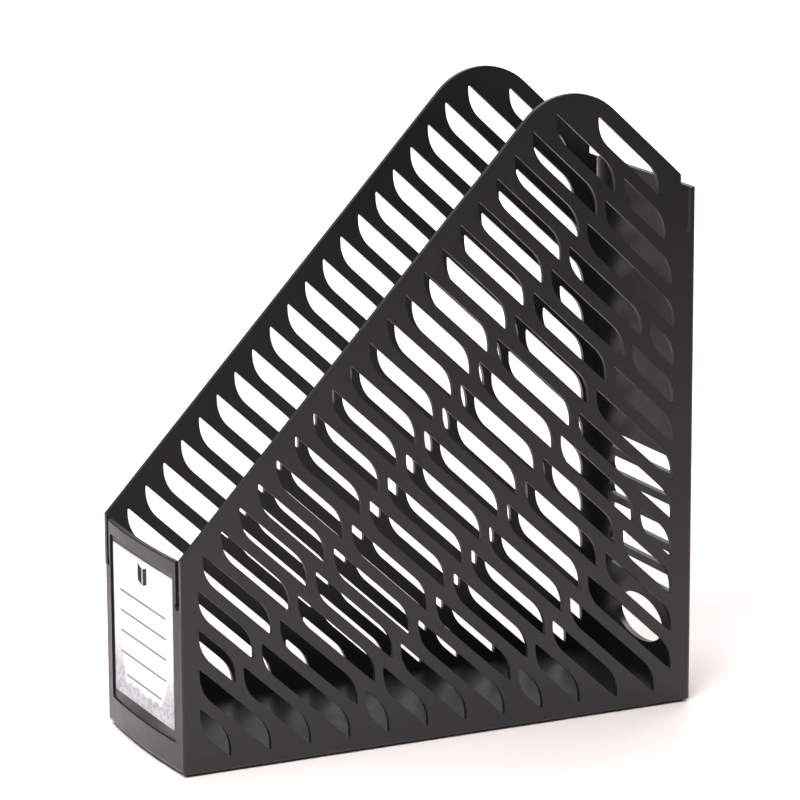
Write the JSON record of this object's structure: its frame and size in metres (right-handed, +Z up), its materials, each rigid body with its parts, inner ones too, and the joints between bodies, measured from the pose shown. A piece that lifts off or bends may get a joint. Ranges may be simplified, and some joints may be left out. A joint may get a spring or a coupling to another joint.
{
  "type": "magazine file holder",
  "caption": "Upright file holder for magazines, cut-away leaf-pierced sides, bulged front with a recessed label card, slotted back with a finger hole.",
  "frame": {"origin": "centre of the bounding box's bottom face, on the surface the holder stands on", "axes": "+Z up, -Y towards the label face, +X across the width; the cut-away mouth rises from the front to the back"},
  "size_m": [0.0886, 0.2521, 0.285],
  "materials": {
    "black_plastic": "satin moulded black, fine grain",
    "label_card": "white card, grey writing lines, pale lavender border print"
  },
  "bodies": {
    "holder": {"right_side_panel": "black_plastic", "left_side_panel": "black_plastic", "front_panel": "black_plastic", "back_panel": "black_plastic", "base_plate": "black_plastic", "spine_label": "label_card"}
  },
  "joints": []
}
